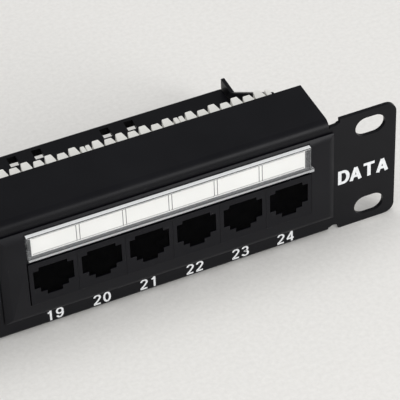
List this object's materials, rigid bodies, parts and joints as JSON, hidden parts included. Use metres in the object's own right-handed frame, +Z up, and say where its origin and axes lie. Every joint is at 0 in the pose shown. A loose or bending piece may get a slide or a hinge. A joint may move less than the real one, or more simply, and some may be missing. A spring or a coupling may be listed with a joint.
{
  "type": "patch panel",
  "caption": "Rack-mount patch panel: folded steel front, modules of modular jacks under clear label covers, punch-down terminal strips and a rear cable tie bar.",
  "frame": {"origin": "bottom centre of the bounding box, on the surface that the panel stands on", "axes": "+X to the right seen from the front, +Y to the rear of the rack, +Z up"},
  "size_m": [0.4826, 0.0708, 0.0442],
  "materials": {
    "panel_steel": "satin black powder coat with a fine texture",
    "frame_plastic": "moulded dark grey plastic, satin",
    "jack_plastic": "moulded dark grey plastic, satin",
    "clear_plastic": "clear polished plastic",
    "label_paper": "uncoated white card with thin grey rules",
    "board_laminate": "green solder mask over glass laminate",
    "terminal_plastic": "ivory moulded plastic, satin",
    "fastener_zinc": "bright zinc plate",
    "contact_metal": "gold-flashed spring contacts and tinned terminals",
    "marking_ink": "white screen print"
  },
  "bodies": {
    "root": {"front_panel": "panel_steel", "cable_bar": "panel_steel", "module_frame_1": "frame_plastic", "circuit_board_1": "board_laminate", "upper_terminals_1": "terminal_plastic", "lower_terminals_1": "terminal_plastic", "module_frame_2": "frame_plastic", "circuit_board_2": "board_laminate", "upper_terminals_2": "terminal_plastic", "lower_terminals_2": "terminal_plastic", "module_frame_3": "frame_plastic", "circuit_board_3": "board_laminate", "upper_terminals_3": "terminal_plastic", "lower_terminals_3": "terminal_plastic", "module_frame_4": "frame_plastic", "circuit_board_4": "board_laminate", "upper_terminals_4": "terminal_plastic", "lower_terminals_4": "terminal_plastic", "jack_01": "jack_plastic", "jack_02": "jack_plastic", "jack_03": "jack_plastic", "jack_04": "jack_plastic", "jack_05": "jack_plastic", "jack_06": "jack_plastic", "jack_07": "jack_plastic", "jack_08": "jack_plastic", "jack_09": "jack_plastic", "jack_10": "jack_plastic", "jack_11": "jack_plastic", "jack_12": "jack_plastic", "jack_13": "jack_plastic", "jack_14": "jack_plastic", "jack_15": "jack_plastic", "jack_16": "jack_plastic", "jack_17": "jack_plastic", "jack_18": "jack_plastic", "jack_19": "jack_plastic", "jack_20": "jack_plastic", "jack_21": "jack_plastic", "jack_22": "jack_plastic", "jack_23": "jack_plastic", "jack_24": "jack_plastic", "bar_arm_left": "panel_steel", "bar_screw_left": "fastener_zinc", "arm_nut_left_upper": "fastener_zinc", "arm_nut_left_lower": "fastener_zinc", "bar_arm_right": "panel_steel", "bar_screw_right": "fastener_zinc", "arm_nut_right_upper": "fastener_zinc", "arm_nut_right_lower": "fastener_zinc"},
    "label_cover_1": {"label_cover_1": "clear_plastic", "label_strip_1": "label_paper"},
    "label_cover_2": {"label_cover_2": "clear_plastic", "label_strip_2": "label_paper"},
    "label_cover_3": {"label_cover_3": "clear_plastic", "label_strip_3": "label_paper"},
    "label_cover_4": {"label_cover_4": "clear_plastic", "label_strip_4": "label_paper"}
  },
  "joints": [
    {"name": "label_cover_1_pull", "type": "slide", "parent": "root", "child": "label_cover_1", "axis": [0, -1, 0], "range_m": [0, 0.008]},
    {"name": "label_cover_2_pull", "type": "slide", "parent": "root", "child": "label_cover_2", "axis": [0, -1, 0], "range_m": [0, 0.008]},
    {"name": "label_cover_3_pull", "type": "slide", "parent": "root", "child": "label_cover_3", "axis": [0, -1, 0], "range_m": [0, 0.008]},
    {"name": "label_cover_4_pull", "type": "slide", "parent": "root", "child": "label_cover_4", "axis": [0, -1, 0], "range_m": [0, 0.008]}
  ]
}
